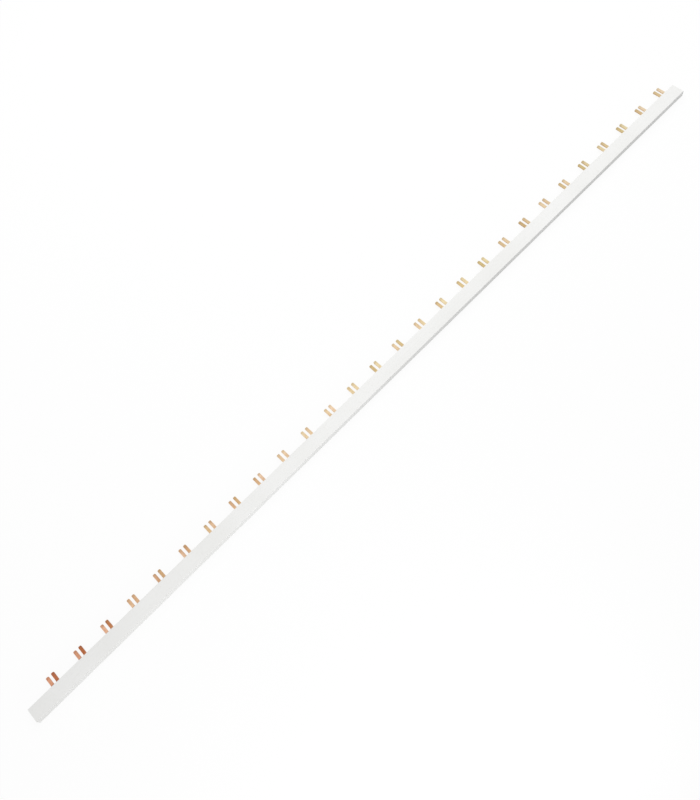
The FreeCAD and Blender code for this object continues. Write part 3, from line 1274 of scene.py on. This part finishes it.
pale, tree, surface, place = new_material("pale_floor")
seen = seen_directly(tree)
wire(tree, blend(tree, seen, FLOOR_SHADE, FLOOR_SEEN), surface.inputs["Base Color"])
surface.inputs["Roughness"].default_value = FLOOR_DULLNESS
surface.inputs["Specular IOR Level"].default_value = FLOOR_SPECULAR
glow = add_node(tree, "ShaderNodeEmission", {"Color": PLAIN_WHITE, "Strength": 1.0})
distance = add_node(tree, "ShaderNodeVectorMath", {0: place}, operation="LENGTH").outputs["Value"]
away = ranged(tree, distance, SHADOW_REACH, SHADOW_GONE)
share = times(tree, seen, between(tree, away, FLOOR_WHITE, 1.0))
both = add_node(tree, "ShaderNodeMixShader", {"Fac": share})
tree.links.new(surface.outputs["BSDF"], both.inputs[1])
tree.links.new(glow.outputs["Emission"], both.inputs[2])
output = next(node for node in tree.nodes if node.type == "OUTPUT_MATERIAL")
tree.links.new(both.outputs["Shader"], output.inputs["Surface"])
floor_mesh.materials.append(pale)
print("pale floor:", len(tree.nodes), "nodes")

# %% [markdown]
# The world is the white room round the bar. What is seen of it is plain white, and the light
# that it casts is softer, so that the lamps can still model the edges. A darker world would
# turn the metal nearly black, because bare metal shows little but what it mirrors.

# %% The world
WORLD_LIGHT = 0.65
world = bpy.data.worlds.new("soft_studio")
bpy.context.scene.world = world
world.use_nodes = True
tree = world.node_tree
tree.nodes.clear()
strength = between(tree, seen_directly(tree), WORLD_LIGHT, 1.0)
sky = add_node(tree, "ShaderNodeBackground", {"Color": PLAIN_WHITE, "Strength": strength})
world_output = tree.nodes.new("ShaderNodeOutputWorld")
tree.links.new(sky.outputs["Background"], world_output.inputs["Surface"])
print("world:", world.name, "with a light of", WORLD_LIGHT)

# %% [markdown]
# Two lamps do the rest. Small ones would cast hard shadows, so both are broad rectangles. The
# bigger one is high above the far half, on the forks' side, so that half is a little brighter
# and the long closed edge is in half shade there. The smaller one is low beside the near half,
# on the other side, and lights that edge. Neither shows in reflections, so the metal mirrors
# only its plain white surroundings.

# %% The lamps
def soft_lamp(name, place, target, width, height, watts):
    light = bpy.data.lights.new(name, "AREA")
    light.shape = "RECTANGLE"
    light.size = width
    light.size_y = height
    light.energy = watts
    lamp = bpy.data.objects.new(name, light)
    bpy.context.scene.collection.objects.link(lamp)
    lamp.location = place
    direction = [end - start for start, end in zip(place, target)]
    lamp.rotation_euler = Vector(direction).to_track_quat("-Z", "Y").to_euler()
    lamp.visible_glossy = False
    return lamp


FILL_SPREAD = 110.0
soft_lamp(
    "key_lamp",
    place=(0.39, 0.5, 0.85),
    target=(0.35, 0.0, 0.0),
    width=1.1,
    height=1.1,
    watts=6.15,
)
fill = soft_lamp(
    "fill_lamp",
    place=(-0.32, -0.5, 0.13),
    target=(-0.32, 0.0, 0.0),
    width=0.5,
    height=0.16,
    watts=0.42,
)
fill.data.spread = math.radians(FILL_SPREAD)
print("lamps:", [item.name for item in bpy.data.lights])

# %% [markdown]
# The camera stands where the photograph was taken from: above the near half of the bar, a
# little to one side, and turned so that the bar runs from the lower left corner to the upper
# right one. It is less than a metre away, so the near forks look larger than the far ones, as
# in the photograph. Its place and turn were fitted to the bar's ends, edges and prongs.

# %% The camera
CAMERA_PLACE = (-222.8 * MM, -312.6 * MM, 806.0 * MM)
CAMERA_TURN = (22.822, 7.305, -44.731)
CAMERA_LENS = 36.0
SENSOR_WIDTH = 36.0
NEAREST_SEEN = 0.01
camera_data = bpy.data.cameras.new("camera")
camera_data.lens = CAMERA_LENS
camera_data.sensor_width = SENSOR_WIDTH
camera_data.clip_start = NEAREST_SEEN
camera = bpy.data.objects.new("camera", camera_data)
camera.location = CAMERA_PLACE
camera.rotation_euler = [math.radians(angle) for angle in CAMERA_TURN]
bpy.context.scene.collection.objects.link(camera)
bpy.context.scene.camera = camera
bpy.context.scene.view_settings.view_transform = "Standard"
print(f"camera {Vector(CAMERA_PLACE).length:.2f} m from the bar's middle")

# %% Finish
bpy.context.view_layer.update()
